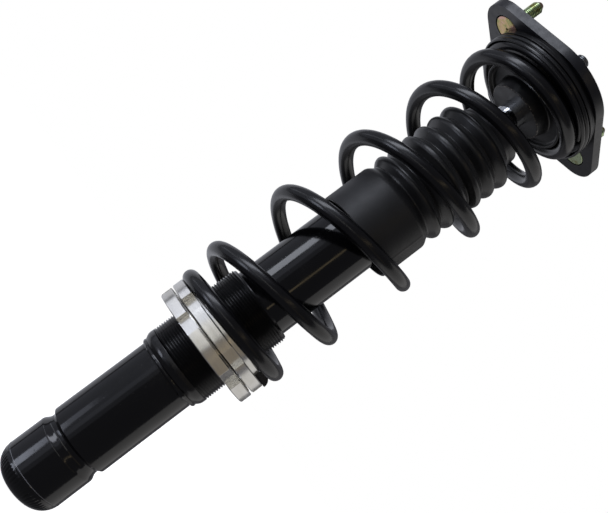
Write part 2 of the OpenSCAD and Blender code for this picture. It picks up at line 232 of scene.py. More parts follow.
def seatPaint():
    # Black painted steel spring seat: half gloss, the paint rubbed off in specks round the boss's lower rim
    material, tree, shader, place = newFinish("seatPaint", Roughness=0.36, IOR=1.5)
    parts = addNode(tree, "ShaderNodeSeparateXYZ", {"Vector": place})
    flat = addNode(tree, "ShaderNodeCombineXYZ", {"X": parts.outputs["X"], "Y": parts.outputs["Y"]})
    radius = addNode(tree, "ShaderNodeVectorMath", {0: flat.outputs["Vector"]},
                     operation="LENGTH").outputs["Value"]
    rim = low("spring_seat") * mm
    lowDown = between(tree, parts.outputs["Z"], rim, rim + 1.4 * mm, 1, 0)
    outward = between(tree, radius, (springSeat["boss"] - 1.4) * mm, (springSeat["boss"] - 0.4) * mm, 0, 1)
    nearRim = addNode(tree, "ShaderNodeMath", {0: lowDown, 1: outward}, operation="MULTIPLY").outputs["Value"]
    chips = between(tree, grain(tree, place, 1.6, 4, 0.7), 0.5, 0.58, 0, 1)
    bare = addNode(tree, "ShaderNodeMath", {0: nearRim, 1: chips}, operation="MULTIPLY").outputs["Value"]
    link(tree, tinted(tree, bare, (0.35, "#060608"), (0.6, "#6d665c")), shader, "Base Color")
    link(tree, between(tree, grain(tree, place, 8, 4), 0.35, 0.7, 0.3, 0.4), shader, "Roughness")
    relief(tree, shader, grain(tree, place, 4, 1), 0.002)
    return material


def plateAnodise():
    # Black anodised aluminium plate: satin, slightly blue, with tumbled grain from before anodising
    material, tree, shader, place = newFinish("plateAnodise", Roughness=0.36, IOR=1.55)
    link(tree, tinted(tree, grain(tree, place, 35, 5), (0.3, "#0a0a0f"), (0.75, "#111218")),
         shader, "Base Color")
    link(tree, between(tree, grain(tree, place, 5, 4), 0.3, 0.7, 0.3, 0.42), shader, "Roughness")
    relief(tree, shader, grain(tree, place, 0.8, 2), 0.012)
    return material


def chromePlate():
    # Ground and hard chromed rod: bright, nearly a mirror, faint grinding rings (drawn at 0.8 mm to show)
    material, tree, shader, place = newFinish("chromePlate", Metallic=1.0, Roughness=0.1)
    rings = aroundAxis(tree, place, 1.2, 0.8)
    lines = addNode(tree, "ShaderNodeTexNoise", {"Vector": rings, "Scale": 1.0, "Detail": 2.0}).outputs["Fac"]
    link(tree, tinted(tree, lines, (0.3, "#c9ccd0"), (0.7, "#dde0e3")), shader, "Base Color")
    link(tree, between(tree, lines, 0.3, 0.7, 0.06, 0.14), shader, "Roughness")
    return material


def zincYellow():
    # Yellow passivated zinc on the studs: gold that shifts to pink and green where the film is thinner
    material, tree, shader, place = newFinish("zincYellow", Metallic=1.0, Roughness=0.3)
    parts = addNode(tree, "ShaderNodeSeparateXYZ", {"Vector": place})
    head = (low("mount_studs") + mountStuds["neckTop"]) * mm
    tip = (high("mount_studs") - mountStuds["tipLength"]) * mm
    film = between(tree, grain(tree, place, 7, 2), 0.35, 0.65, 0.22, 0.74)
    for drift in (between(tree, parts.outputs["X"], -55 * mm, 55 * mm, -0.16, 0.26),
                  between(tree, parts.outputs["Z"], head, head + 2 * mm, 0, 0.42),
                  between(tree, parts.outputs["Z"], tip, tip + 0.8 * mm, 0, -0.6)):
        film = addNode(tree, "ShaderNodeMath", {0: film, 1: drift}, operation="ADD").outputs["Value"]
    link(tree, tinted(tree, film, (0.12, "#cfa595"), (0.32, "#c6ae78"), (0.52, "#9c9a5e"), (0.78, "#c9d8b0")),
         shader, "Base Color")
    link(tree, between(tree, grain(tree, place, 3, 3), 0.3, 0.7, 0.2, 0.34), shader, "Roughness")
    relief(tree, shader, grain(tree, place, 2, 2), 0.01)
    return material


def bareMetal(name, dark, light, roughLow, roughHigh, size):
    # Metal that only shows when the strut is apart: plain, with the grain of how it was made
    material, tree, shader, place = newFinish(name, Metallic=1.0, Roughness=roughLow)
    pattern = grain(tree, place, size, 4)
    link(tree, tinted(tree, pattern, (0.3, dark), (0.7, light)), shader, "Base Color")
    link(tree, between(tree, pattern, 0.3, 0.7, roughLow, roughHigh), shader, "Roughness")
    relief(tree, shader, pattern, 0.01)
    return material


def zincNut():
    # Clear zinc plate on nut and washer: cool grey, half bright
    return bareMetal("zincNut", "#a3a6a8", "#c3c5c6", 0.26, 0.4, 3)


def bearingSteel():
    # Hardened, ground and polished bearing steel: bright grey
    return bareMetal("bearingSteel", "#b0b2b5", "#c9cbcd", 0.1, 0.2, 5)


def machinedSteel():
    # Turned carbon steel, oiled: mid grey with brighter tool marks
    return bareMetal("machinedSteel", "#85878a", "#a9abad", 0.26, 0.42, 2)


def sinteredIron():
    # Pressed and sintered iron: dark grey and open grained
    return bareMetal("sinteredIron", "#55565a", "#76787b", 0.45, 0.62, 0.8)


def castAluminium():
    # Die cast aluminium, as cast: pale grey, matt
    return bareMetal("castAluminium", "#8e9092", "#b4b6b7", 0.4, 0.58, 1.5)


def blackOxide():
    # Chemically blacked spring steel: blue black and oily
    return bareMetal("blackOxide", "#1c1d20", "#303236", 0.3, 0.45, 2)


def bushBronze():
    # PTFE lined bronze bush: brown gold, dull
    return bareMetal("bushBronze", "#6b5630", "#8d7446", 0.38, 0.55, 1.2)


def softPlastic(name, dark, light, roughness, size, depth):
    material, tree, shader, place = newFinish(name, Roughness=roughness, IOR=1.5)
    pattern = grain(tree, place, size, 4, 0.6)
    link(tree, tinted(tree, pattern, (0.35, dark), (0.7, light)), shader, "Base Color")
    link(tree, between(tree, pattern, 0.3, 0.7, roughness - 0.05, roughness + 0.08), shader, "Roughness")
    relief(tree, shader, pattern, depth)
    return material


def sealRubber():
    # Moulded nitrile seal: black, smooth, a little oily
    return softPlastic("sealRubber", "#0b0b0c", "#151517", 0.34, 3, 0.02)


def bumpFoam():
    # Microcellular polyurethane bump stop: straw coloured, open pored skin
    return softPlastic("bumpFoam", "#a9935a", "#c4ae74", 0.7, 0.9, 0.12)


def cageNylon():
    # Glass filled nylon ball cage: amber, faintly fibrous
    return softPlastic("cageNylon", "#7a6534", "#99824a", 0.5, 1.5, 0.03)


def ringPtfe():
    # Bronze filled PTFE piston ring: dark brown, waxy
    return softPlastic("ringPtfe", "#3f2c1c", "#573f2a", 0.42, 2, 0.02)


# ---- tools for the pieces; a bmesh is drawn in millimetres about the strut axis

def turned(bm, outline, steps=144, closed=True):
    # Spins an outline of (radius, height) or (radius, height, rounding) about the axis
    verts = [bm.verts.new((p[0], 0, p[1])) for p in outline]
    pairs = list(zip(verts, verts[1:]))
    if closed and outline[0][0] > 0:
        pairs.append((verts[-1], verts[0]))
    edges = [bm.edges.new(pair) for pair in pairs]
    before = set(bm.verts) - set(verts)
    bmesh.ops.spin(bm, geom=verts + edges, cent=(0, 0, 0), axis=(0, 0, 1), angle=2 * math.pi, steps=steps,
                   use_merge=True)
    fresh = [v for v in bm.verts if v not in before]
    bmesh.ops.remove_doubles(bm, verts=fresh, dist=0.001)
    fresh = set(v for v in bm.verts if v not in before)
    bmesh.ops.recalc_face_normals(bm, faces=[f for f in bm.faces if set(f.verts) <= fresh])
    for p in outline:
        if len(p) > 2:
            rounded(bm, ringEdges(bm, p[0], p[1], fresh), p[2])
            fresh = set(v for v in bm.verts if v not in before)


def ringEdges(bm, radius, height, among=None):
    def onRing(v):
        return (abs(v.co.z - height) < 0.01 and abs(math.hypot(v.co.x, v.co.y) - radius) < 0.01
                and (among is None or v in among))
    return [e for e in bm.edges if onRing(e.verts[0]) and onRing(e.verts[1])]


def rounded(bm, edges, size, segments=4):
    bmesh.ops.bevel(bm, geom=edges, offset=size, offset_type="OFFSET", segments=segments, profile=0.5,
                    affect="EDGES", material=-1, clamp_overlap=True)


def helicalThread(bm, core, crest, pitch, bottom, top, steps, bore=0.0, lead=0.0):
    # One tooth swept once round its helix and copied up turn by turn, then cut level at both ends; the
    # crest is eased over the last lead millimetres
    tooth = [(core + (crest - core) * up, along) for along, up in (
        (0, 0), (0.12, 0.06), (0.24, 0.4), (0.38, 0.88), (0.5, 1),
        (0.62, 0.88), (0.76, 0.4), (0.88, 0.06), (1, 0))]
    thread = bmesh.new()
    verts = [thread.verts.new((r, 0, bottom - pitch * 1.5 + z * pitch)) for r, z in tooth]
    edges = [thread.edges.new(pair) for pair in zip(verts, verts[1:])]
    bmesh.ops.spin(thread, geom=verts + edges, cent=(0, 0, 0), axis=(0, 0, 1), angle=2 * math.pi,
                   steps=steps, dvec=(0, 0, pitch / steps))
    oneTurn = thread.verts[:] + thread.edges[:] + thread.faces[:]
    for turn in range(1, math.ceil((top - bottom) / pitch) + 3):
        copied = bmesh.ops.duplicate(thread, geom=oneTurn)["geom"]
        bmesh.ops.translate(thread, vec=(0, 0, pitch * turn),
                            verts=[g for g in copied if isinstance(g, bmesh.types.BMVert)])
    bmesh.ops.remove_doubles(thread, verts=thread.verts, dist=pitch / 200)
    for height, facing in ((bottom, -1), (top, 1)):
        bmesh.ops.bisect_plane(thread, geom=thread.verts[:] + thread.edges[:] + thread.faces[:],
                               plane_co=(0, 0, height), plane_no=(0, 0, facing),
                               clear_outer=True, dist=0.0001)
    for v in thread.verts:
        radius = math.hypot(v.co.x, v.co.y)
        limit = crest - (crest - core + 0.4) * (v.co.z - top + lead) / max(lead, 0.01)
        if lead and v.co.z > top - lead and radius > limit:
            v.co.xy *= limit / radius
    rims = [[e for e in thread.edges if e.is_boundary and all(abs(v.co.z - height) < 0.01 for v in e.verts)]
            for height in (bottom, top)]
    inner = []
    for rim in rims:
        if not bore:
            bmesh.ops.contextual_create(thread, geom=rim)
            continue
        grown = bmesh.ops.extrude_edge_only(thread, edges=rim)["geom"]
        for v in [g for g in grown if isinstance(g, bmesh.types.BMVert)]:
            v.co.xy *= bore / math.hypot(v.co.x, v.co.y)
        inner += [g for g in grown if isinstance(g, bmesh.types.BMEdge)]
    if inner:
        bmesh.ops.bridge_loops(thread, edges=inner)
    bmesh.ops.recalc_face_normals(thread, faces=thread.faces)
    joinInto(bm, thread)


def joinInto(bm, other):
    mesh = bpy.data.meshes.new("joined")
    other.to_mesh(mesh)
    other.free()
    bm.from_mesh(mesh)
    bpy.data.meshes.remove(mesh)


def toObject(bm, name):
    mesh = bpy.data.meshes.new(name)
    bmesh.ops.scale(bm, vec=(mm, mm, mm), verts=bm.verts)
    bm.to_mesh(mesh)
    bm.free()
    piece = bpy.data.objects.new(name, mesh)
    bpy.context.scene.collection.objects.link(piece)
    return piece


def applyAll(piece):  # turns the piece's modifiers into its mesh
    bpy.context.view_layer.update()
    shaped = piece.evaluated_get(bpy.context.evaluated_depsgraph_get())
    mesh = bpy.data.meshes.new_from_object(shaped)
    piece.modifiers.clear()
    piece.data = mesh


def carve(piece, tool, operation="DIFFERENCE"):
    cut = piece.modifiers.new(operation, "BOOLEAN")
    cut.operation = operation
    cut.object = tool
    cut.solver = "EXACT"
    applyAll(piece)
    bpy.data.objects.remove(tool)


def softenEdges(piece, width, segments=2, angle=35):
    bevel = piece.modifiers.new("edges", "BEVEL")
    bevel.width = width * mm
    bevel.segments = segments
    bevel.limit_method = "ANGLE"
    bevel.angle_limit = math.radians(angle)
    applyAll(piece)


def finishPiece(piece, body, slotName, material, *nodes, smooth=35):
    mesh = piece.data
    mesh.materials.clear()
    mesh.materials.append(material)
    mesh.shade_smooth()
    mesh.set_sharp_from_angle(angle=math.radians(smooth))
    # Large faces keep their own normals and the narrow rounding beside them takes the whole turn
    weighted = piece.modifiers.new("faceWeight", "WEIGHTED_NORMAL")
    weighted.keep_sharp = True
    weighted.mode = "FACE_AREA"
    weighted.weight = 50
    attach(piece, body)
    if nodes:
        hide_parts(*nodes)
    print("made", piece.name, len(mesh.polygons), "faces")
    return piece


# ---- strut tube and its closed end

strutTube = {"grooveLow": 26.4, "grooveHigh": 36.6, "grooveDepth": 2.6, "wall": 2.5, "rolledEdge": 1.0,
             "clampLength": 110.0, "upper": 27.2}


def makeStrutTube(finish):
    s = strutTube
    outer = reach("strut_tube")
    top = high("strut_tube")
    floor = outer - s["grooveDepth"]
    bm = bmesh.new()
    turned(bm, [
        (outer - 0.25, 0), (outer, 0.3), (outer, s["grooveLow"], s["rolledEdge"]), (floor, 30.6, 1.6),
        (floor, 34.4, 0.9), (outer, s["grooveHigh"], 0.35), (outer, s["clampLength"], 0.1),
        (s["upper"], s["clampLength"]), (s["upper"], top - 0.6), (s["upper"] - 0.6, top),
        (outer - s["wall"], top), (outer - s["wall"], s["grooveHigh"] + 1), (floor - s["wall"], 34.4),
        (floor - s["wall"], 30.6), (outer - s["wall"], s["grooveLow"] - 1), (outer - s["wall"], 0)],
        steps=180)
    return finishPiece(toObject(bm, "strutTube"), "strut", "gloss_black_tube", finish, "strut_tube")


baseCap = {"corner": 16.0, "flutes": 60, "fluteDepth": 0.8, "fluteLow": -10.5, "fluteHigh": -2.6,
           "ringHeight": -1.9, "ringDepth": 0.2}


def makeBaseCap(finish):
    b = baseCap
    outer = reach("base_cap")
    foot = outer - b["corner"]
    inner = outer - 2.5
    shoulder = [(foot + b["corner"] * math.sin(math.radians(a)), -b["corner"] * math.cos(math.radians(a)))
                for a in range(0, 90, 2)]
    bm = bmesh.new()
    turned(bm, [(0, -b["corner"])] + shoulder + [
        (outer, -0.9), (outer - 0.35, 0), (inner, 0), (inner, high("base_cap")), (20, high("base_cap")),
        (20, 5), (17, 5), (17, -6), (foot, 4 - b["corner"]), (0, 4 - b["corner"])], steps=360)
    middle = (b["fluteLow"] + b["fluteHigh"]) / 2
    half = (b["fluteHigh"] - b["fluteLow"]) / 2
    for v in bm.verts:
        radius = math.hypot(v.co.x, v.co.y)
        outside = math.hypot(radius - foot, v.co.z) > b["corner"] - 0.5 and radius > foot and v.co.z < -0.5
        if not outside:
            continue
        turn = math.atan2(v.co.y, v.co.x)
        window = max(0, 1 - ((v.co.z - middle) / half) ** 2) ** 0.5
        dent = max(0, math.cos(turn * b["flutes"])) ** 2 * window * b["fluteDepth"]
        dent *= 0.6 + 0.8 * noise.noise(Vector((4 * v.co.x / radius, 4 * v.co.y / radius, 2.0)))
        dent += b["ringDepth"] * math.exp(-((v.co.z - b["ringHeight"]) / 0.35) ** 2)
        away = Vector((v.co.x, v.co.y, 0)) / radius * (radius - foot) + Vector((0, 0, v.co.z))
        v.co -= away.normalized() * dent
    return finishPiece(toObject(bm, "baseCap"), "strut", "gloss_black_tube", finish, "base_cap")


# ---- threaded sleeve and its weld

sleeveWeld = {"radius": 1.8, "ripple": 0.3, "lumpTurn": -52, "lumpSize": 1.1}


def makeSleeveWeld(finish):
    w = sleeveWeld
    top = high("sleeve_weld")
    bm = bmesh.new()
    centre = (strutTube["upper"] + 0.5, top - 1.2)
    turned(bm, [(centre[0] + w["radius"] * math.cos(math.radians(a)), centre[1] + w["radius"]
                 * math.sin(math.radians(a))) for a in range(0, 360, 24)], steps=240)
    for v in bm.verts:
        turn = math.atan2(v.co.y, v.co.x)
        radial = Vector((math.cos(turn), math.sin(turn), 0))
        away = v.co - radial * centre[0] - Vector((0, 0, centre[1]))
        swell = w["ripple"] * noise.noise(Vector((9 * radial.x, 9 * radial.y, 5.0)))
        swell += w["lumpSize"] * math.exp(-((math.degrees(turn) - w["lumpTurn"]) / 9) ** 2)
        v.co += away.normalized() * swell * (0.4 if away.z > 0 else 1.0)
    return finishPiece(toObject(bm, "sleeveWeld"), "strut", "gloss_black_tube", finish, "sleeve_weld")


threadedSleeve = {"pitch": 2.0, "depth": 1.2, "shoulder": 7.5, "leadIn": 2.6, "stepsPerTurn": 96}


def makeThreadedSleeve(finish):
    t = threadedSleeve
    bottom = low("threaded_sleeve")
    top = high("threaded_sleeve")
    crest = reach("threaded_sleeve")
    bore = strutTube["upper"]
    threadStart = bottom + t["shoulder"]
    bm = bmesh.new()
    turned(bm, [(bore, bottom), (bore + 2, bottom, 0.5), (crest - 1.1, bottom + 1.8, 1.2),
                (crest - 0.1, bottom + 4, 1.2), (crest - 0.1, threadStart + 0.6, 0.3),
                (crest - 1.2, threadStart + 1),
                (bore, threadStart + 1)], steps=144)
    helicalThread(bm, crest - t["depth"], crest, t["pitch"], threadStart + 0.5, top, t["stepsPerTurn"],
                  bore=bore, lead=t["leadIn"])
    return finishPiece(toObject(bm, "threadedSleeve"), "strut", "black_thread", finish, "threaded_sleeve",
                       smooth=60)


# ---- the two collars

collars = {"notches": 6, "notchWidth": 14.6, "notchDepth": 6.0, "chamfer": 0.6, "bore": 31.5, "hub": 40.0,
           "lockTurn": -113.5, "perchTurn": -127.5, "edge": 0.25}


def makeCollar(name, node, body, bottom, top, turn, hubFrom, hubTo, hubRadius, finish):
    c = collars
    outer = reach(node)
    bm = bmesh.new()
    turned(bm, [(c["bore"], bottom), (outer, bottom), (outer, top), (c["bore"], top)], steps=192)
    for e in ringEdges(bm, outer, bottom) + ringEdges(bm, outer, top):
        e.tag = True
    rounded(bm, [e for e in bm.edges if e.tag], c["chamfer"], segments=1)
    ring = toObject(bm, name)
    bm = bmesh.new()
    for i in range(c["notches"]):
        made = bmesh.ops.create_cube(bm, size=1)["verts"]
        bmesh.ops.scale(bm, vec=(c["notchDepth"] + 6, c["notchWidth"], top - bottom + 4), verts=made)
        bmesh.ops.translate(bm, vec=(outer + 3 - c["notchDepth"] / 2, 0, (top + bottom) / 2), verts=made)
        bmesh.ops.rotate(bm, cent=(0, 0, 0), matrix=Matrix.Rotation(
            math.radians(turn + i * 360 / c["notches"]), 3, "Z"), verts=made)
    carve(ring, toObject(bm, name + "Notches"))
    softenEdges(ring, c["edge"], angle=50)
    hub = bmesh.new()
    turned(hub, [(c["bore"], hubFrom), (hubRadius, hubFrom), (hubRadius, hubTo - 0.5),
                 (hubRadius - 0.5, hubTo),
                 (c["bore"] + 0.6, hubTo), (c["bore"], hubTo - 0.6)], steps=144)
    bmesh.ops.scale(hub, vec=(mm, mm, mm), verts=hub.verts)
    hub.from_mesh(ring.data)
    hub.to_mesh(ring.data)
    hub.free()
    return finishPiece(ring, body, "machined_aluminium", finish, node, smooth=25)


def makeCollars(finish):
    c = collars
    rimGap = 1.5
    lockTop = low("lock_collar") + 9.0
    perchRim = lockTop + rimGap
    makeCollar("lockCollar", "lock_collar", "locknut", low("lock_collar"), lockTop, c["lockTurn"],
               lockTop - 1, high("lock_collar"), c["hub"], finish)
    springSide = high("perch_collar") - 4
    perch = makeCollar("perchCollar", "perch_collar", "perch", perchRim, springSide, c["perchTurn"],
                       springSide - 1, high("perch_collar"), 38.6, finish)
    return perch


# ---- coil spring

coilSpring = {"wire": 5.9, "turns": 6.94, "lowRadius": 43.6, "highRadius": 46.4, "bulge": 8.4,
              "swellFrom": 0.35, "bow": 2.0,
              "endPitch": 9.0, "pitch": 66.65, "liftOff": (0.43, 2.14), "landing": (4.09, 6.69),
              "stepsPerTurn": 90, "sides": 24}


def eased(u, start, end):  # grows smoothly from 0 before start to slope 1 after end
    x = max(0, min(1, (u - start) / (end - start)))
    return (end - start) * (x ** 3 - x ** 4 / 2) + max(0, u - end)


def makeCoilSpring(finish):
    s = coilSpring
    bottom = low("coil_spring")
    top = high("coil_spring")
    count = round(s["stepsPerTurn"] * s["turns"])
    draftPitch = 40.0
    draftRadius = 60.0
    bm = bmesh.new()
    ring = bmesh.ops.create_circle(bm, segments=s["sides"], radius=s["wire"])["verts"]
    bmesh.ops.rotate(bm, cent=(0, 0, 0), matrix=Matrix.Rotation(math.pi / 2, 3, "X"), verts=ring)
    bmesh.ops.translate(bm, vec=(draftRadius, 0, 0), verts=ring)
    bmesh.ops.spin(bm, geom=ring + bm.edges[:], cent=(0, 0, 0), axis=(0, 0, 1),
                   angle=2 * math.pi * s["turns"], steps=count, dvec=(0, 0, draftPitch * s["turns"] / count))
    # The even draft coil is then set to the barrel shape and the closed ends
    for v in bm.verts:
        turn = math.atan2(v.co.y, v.co.x) / (2 * math.pi)
        u = turn + round(v.co.z / draftPitch - turn)
        out = math.hypot(v.co.x, v.co.y) - draftRadius
        up = v.co.z - draftPitch * u
        u = max(0, min(s["turns"], u))
        radius = s["lowRadius"] + (s["highRadius"] - s["lowRadius"]) * u / s["turns"]
        radius += s["bulge"] * math.sin(
            math.pi * max(0, min(1, (u - s["swellFrom"]) / (6 - s["swellFrom"]))))
        height = bottom + 0.65 + s["endPitch"] * u
        height += (s["pitch"] - s["endPitch"]) * (eased(u, *s["liftOff"]) - eased(u, *s["landing"]))
        bow = -s["bow"] * math.sin(math.pi * u / s["turns"])
        over = height - top
        if over > 0 and height + up > top:  # the ground end keeps less than half of the wire here
            half = math.sqrt(max(0, s["wire"] ** 2 - over ** 2))
            out = max(-half, min(half, out))
        around = 2 * math.pi * u
        v.co = ((radius + out) * math.cos(around) + bow, (radius + out) * math.sin(around),
                max(bottom, min(top, height + up)))
    open = [e for e in bm.edges if e.is_boundary]
    bmesh.ops.holes_fill(bm, edges=open, sides=0)
    bmesh.ops.remove_doubles(bm, verts=bm.verts, dist=0.002)
    bmesh.ops.recalc_face_normals(bm, faces=bm.faces)
    piece = finishPiece(toObject(bm, "coilSpring"), "spring_carrier", "satin_black_spring", finish,
                        "coil_spring", smooth=50)
    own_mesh(piece)
    return piece


# ---- dust boot

dustBoot = {"skirt": 36.0, "shoulder": 37.0, "firstFold": 50.0, "foldPitch": 12.88, "folds": 6, "crest": 36.8,
            "valley": 31.9, "wall": 1.4, "shift": 2.5, "neck": 25.6, "ridge": 0.3, "ridgeTurn": -38,
            "steps": 240, "waver": 0.1}


def makeDustBoot(finish):
    d = dustBoot
    bottom = low("dust_boot")
    top = high("dust_boot")
    outside = [(d["skirt"] - 0.3, bottom), (d["skirt"], bottom + 0.4),
               (d["skirt"], bottom + d["shoulder"], 1.6),
               (d["valley"] - 0.4, bottom + 43.5, 1.0)]
    for i in range(d["folds"]):
        crest = bottom + d["firstFold"] + i * d["foldPitch"]
        outside += [(d["crest"], crest - 1.5, 1.7), (d["crest"], crest + 1.5, 1.7)]
        if i < d["folds"] - 1:
            outside.append((d["valley"], crest + d["foldPitch"] / 2, 0.5))
    last = bottom + d["firstFold"] + (d["folds"] - 1) * d["foldPitch"]
    outside += [(d["valley"], last + 5, 0.8), (27.4, last + 9.5, 0.6), (26.6, last + 12, 0.6),
                (d["neck"], top)]
    inside = [(p[0] - d["wall"], p[1]) for p in reversed(outside)]
    bm = bmesh.new()
    turned(bm, outside + inside, steps=d["steps"])
    for v in bm.verts:
        turn = math.atan2(v.co.y, v.co.x)
        radial = Vector((math.cos(turn), math.sin(turn), 0))
        if v.co.z < top - 1:
            v.co += radial * d["waver"] * noise.noise(Vector((2.2 * radial.x, 2.2 * radial.y, v.co.z / 16)))
    # Flash line where the two halves of the mould met
    for v in bm.verts:
        turn = math.degrees(math.atan2(v.co.y, v.co.x))
        off = min(abs(turn - d["ridgeTurn"]), abs(turn - d["ridgeTurn"] - 180))
        if off < 0.8 and math.hypot(v.co.x, v.co.y) > d["neck"] - 0.3 and v.co.z < bottom + d["shoulder"]:
            v.co.xy *= 1 + d["ridge"] / d["skirt"]
    bmesh.ops.translate(bm, vec=(d["shift"], 0, 0), verts=bm.verts)
    piece = finishPiece(toObject(bm, "dustBoot"), "spring_carrier", "rubber_boot", finish, "dust_boot",
                        smooth=40)
    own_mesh(piece)
    return piece


# ---- piston rod

pistonRod = {"radius": 11.0, "shank": 6.0, "shoulder": 450.0, "piston": 236.0, "threadPitch": 1.5, "hex": 2.9}


def makePistonRod(chrome, steel):
    p = pistonRod
    bottom = low("piston_rod")
    top = high("piston_rod")
    threadStart = high("pillow_ball") + 3
    bm = bmesh.new()
    turned(bm, [(0, bottom), (p["shank"] - 0.8, bottom), (p["shank"], bottom + 0.8),
                (p["shank"], p["piston"]), (p["radius"], p["piston"], 0.3),
                (p["radius"], p["shoulder"], 0.3), (p["shank"], p["shoulder"]),
                (p["shank"], threadStart), (0, threadStart)], steps=96)
    rod = finishPiece(toObject(bm, "pistonRod"), "damper_rod", "chrome_rod", chrome, "piston_rod")
    bm = bmesh.new()
    helicalThread(bm, p["shank"] - 0.8, p["shank"], p["threadPitch"], threadStart - 0.5, top, 48, lead=1.2)
    tip = toObject(bm, "rodThread")
    bm = bmesh.new()
    made = bmesh.ops.create_cone(bm, cap_ends=True, segments=6, radius1=p["hex"], radius2=p["hex"],
                                 depth=10)["verts"]
    bmesh.ops.translate(bm, vec=(0, 0, top), verts=made)
    carve(tip, toObject(bm, "hexSocket"))
    finishPiece(tip, "damper_rod", "plain_steel", steel)
    return rod


# ---- spring seat, rubber ring and bearing cover

springSeat = {"boss": 24.2, "bossTop": 26.5, "dish": 10.4, "dishEdge": 35.8, "lipInside": 36.6, "lip": 38.7,
              "lipBottom": 444, "stepLow": 456.8, "stepHigh": 457.6, "step": 40, "flange": 460,
              "pocket": 40.5, "pocketFloor": 459.2, "steps": 180}


def makeSpringSeat(finish):
    s = springSeat
    bottom = low("spring_seat")
    top = high("spring_seat")
    outer = reach("spring_seat")
    dish = bottom + s["dish"]
    bm = bmesh.new()
    turned(bm, [
        (11.1, bottom), (s["boss"], bottom, 0.7), (s["bossTop"], dish, 1.2), (s["dishEdge"], dish, 1.4),
        (s["lipInside"], s["lipBottom"], 0.5), (s["lip"], s["lipBottom"], 0.9), (s["lip"], s["stepLow"]),
        (s["step"], s["stepHigh"]), (s["step"], s["flange"], 0.3), (outer, s["flange"], 0.4),
        (outer - 0.8, top, 0.3), (s["pocket"], top), (s["pocket"], s["pocketFloor"]), (28, s["pocketFloor"]),
        (28, 462), (17, 462), (16, 463), (6, 463), (6, 450), (11.1, 450)],
        steps=s["steps"])
    return finishPiece(toObject(bm, "springSeat"), "damper_rod", "satin_black_steel", finish, "spring_seat")


seatIsolator = {"cup": 53.0, "cupDepth": 5.6, "bore": 40.0}


def makeSeatIsolator(finish):
    s = seatIsolator
    bottom = low("seat_isolator")
    top = high("seat_isolator")
    outer = reach("seat_isolator")
    half = (top - bottom) / 4
    beads = [(outer - half + half * math.cos(math.radians(a)),
              bottom + half * (side + math.sin(math.radians(a))))
             for side in (1, 3) for a in range(-70, 71, 14)]
    bm = bmesh.new()
    turned(bm, [(s["bore"], bottom + s["cupDepth"], 0.2), (s["cup"], bottom + s["cupDepth"], 1.6),
                (s["cup"], bottom + 0.2)] + beads + [(s["bore"], top)], steps=180)
    return finishPiece(toObject(bm, "seatIsolator"), "damper_rod", "rubber_seat", finish, "seat_isolator")


def makeBearingCover(finish):
    bottom = low("bearing_cover")
    top = high("bearing_cover")
    outer = reach("bearing_cover")
    bm = bmesh.new()
    turned(bm, [(42, bottom), (outer - 0.8, bottom, 0.3), (outer - 2.2, top), (42, top)], steps=180)
    return finishPiece(toObject(bm, "bearingCover"), "top_mount", "satin_black_steel", finish,
                       "bearing_cover")


# ---- top plate

topPlate = {
    "corners": [(-86.6, -18.5, 22), (19.9, -67, 44), (85.6, 35.7, 22), (-19.6, 93.5, 14), (-46.5, 58.5, 20),
                (-55.3, 24, 25)],  # x, y and rounding radius
    "thickness": 8.0, "bore": 20.0, "pocket": 12.4, "pocketDepth": 3.5, "edge": 0.7, "cornerSteps": 16,
}
studPlaces = [(-53.5, -11), (53.5, 25.5), (-19, 66)]
studRadius = 5.0


def disc(radius, bottom, top, x=0.0, y=0.0, radiusTop=None, segments=96):
    bm = bmesh.new()
    made = bmesh.ops.create_cone(bm, cap_ends=True, segments=segments, radius1=radius,
                                 radius2=radius if radiusTop is None else radiusTop,
                                 depth=top - bottom)["verts"]
    bmesh.ops.translate(bm, vec=(x, y, (top + bottom) / 2), verts=made)
    return toObject(bm, "tool")


def makeTopPlate(finish):
    t = topPlate
    bottom = low("top_plate")
    top = bottom + t["thickness"]
    bm = bmesh.new()
    corners = [bm.verts.new((x, y, bottom)) for x, y, _ in t["corners"]]
    bm.faces.new(corners)
    grown = bmesh.ops.extrude_face_region(bm, geom=bm.faces[:])["geom"]
    bmesh.ops.translate(bm, vec=(0, 0, t["thickness"]),
                        verts=[g for g in grown if isinstance(g, bmesh.types.BMVert)])
    bmesh.ops.recalc_face_normals(bm, faces=bm.faces)
    # Each upright edge gets its own radius, as an offset along the two sides
    for x, y, radius in t["corners"]:
        edge = [e for e in bm.edges if all((v.co.xy - Vector((x, y))).length < 0.01 for v in e.verts)]
        rounded(bm, edge, radius * math.tan(edge[0].calc_face_angle() / 2), segments=t["cornerSteps"])
    plate = toObject(bm, "topPlate")
    carve(plate, disc(31, top - 1, high("top_plate"), radiusTop=28), "UNION")
    carve(plate, disc(t["bore"], bottom - 2, top + 8))
    carve(plate, disc(t["bore"] + 1, top, top + 8))
    for x, y in studPlaces:
        carve(plate, disc(t["pocket"], bottom - 2, bottom + t["pocketDepth"], x, y))
        carve(plate, disc(studRadius + 0.2, bottom, top + 2, x, y, segments=48))
    softenEdges(plate, t["edge"], segments=3, angle=40)
    return finishPiece(plate, "top_mount", "satin_black_steel", finish, "top_plate", smooth=30)


# ---- studs

mountStuds = {"head": 11.5, "headHeight": 3.5, "neck": 5.2, "neckTop": 8.5, "pitch": 1.5, "depth": 0.85,
              "tipLength": 3.0, "tip": 2.2, "dimple": 1.5}


